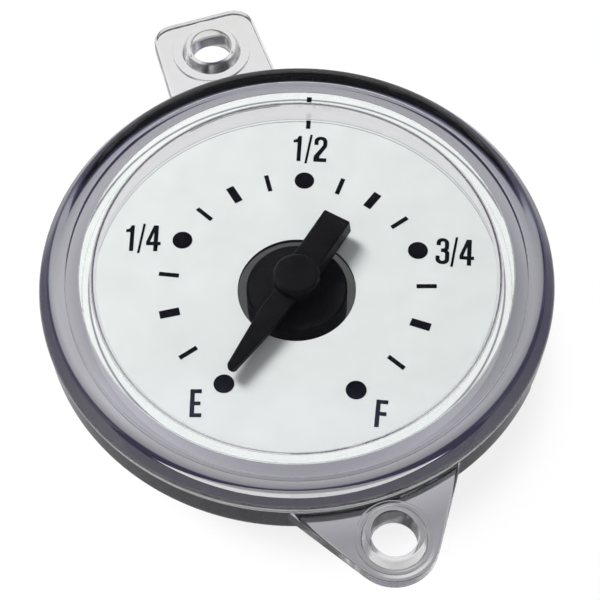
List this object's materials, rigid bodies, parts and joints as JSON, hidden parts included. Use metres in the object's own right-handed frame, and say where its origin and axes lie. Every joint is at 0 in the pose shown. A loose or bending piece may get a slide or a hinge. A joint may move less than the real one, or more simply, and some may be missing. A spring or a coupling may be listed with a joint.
{
  "type": "fuel sight gauge",
  "caption": "Round clear sealed capsule with screw ears, a printed fuel dial and a counterweighted needle that a magnet turns.",
  "frame": {"origin": "on the needle's axis, in the plane of the capsule's flat back, where the magnet well leaves it", "axes": "+Z out of the dial face, +Y to 12 o'clock on the dial, +X to 3 o'clock"},
  "size_m": [0.05, 0.0647, 0.0112],
  "materials": {
    "clear_case": "clear moulded polycarbonate, gloss",
    "dial_white": "satin white",
    "dial_ink": "black ink",
    "needle_black": "moulded black acetal",
    "magnet_ferrite": "sintered ferrite",
    "pin_steel": "ground",
    "cup_jewel": "polished",
    "bush_brass": "turned"
  },
  "bodies": {
    "capsule": {"case_back": "clear_case", "lens_cover": "clear_case", "dial_plate": "dial_white", "dial_marks": "dial_ink", "pivot_pin": "pin_steel"},
    "rotor": {"pointer": "needle_black", "magnet": "magnet_ferrite", "bearing_cup": "cup_jewel", "guide_bush": "bush_brass"}
  },
  "joints": [
    {"name": "needle_turn", "type": "hinge", "parent": "capsule", "child": "rotor", "pos_m": [0, 0, 0.002], "axis": [0, 0, -1], "range_deg": [0, 300.8]}
  ]
}
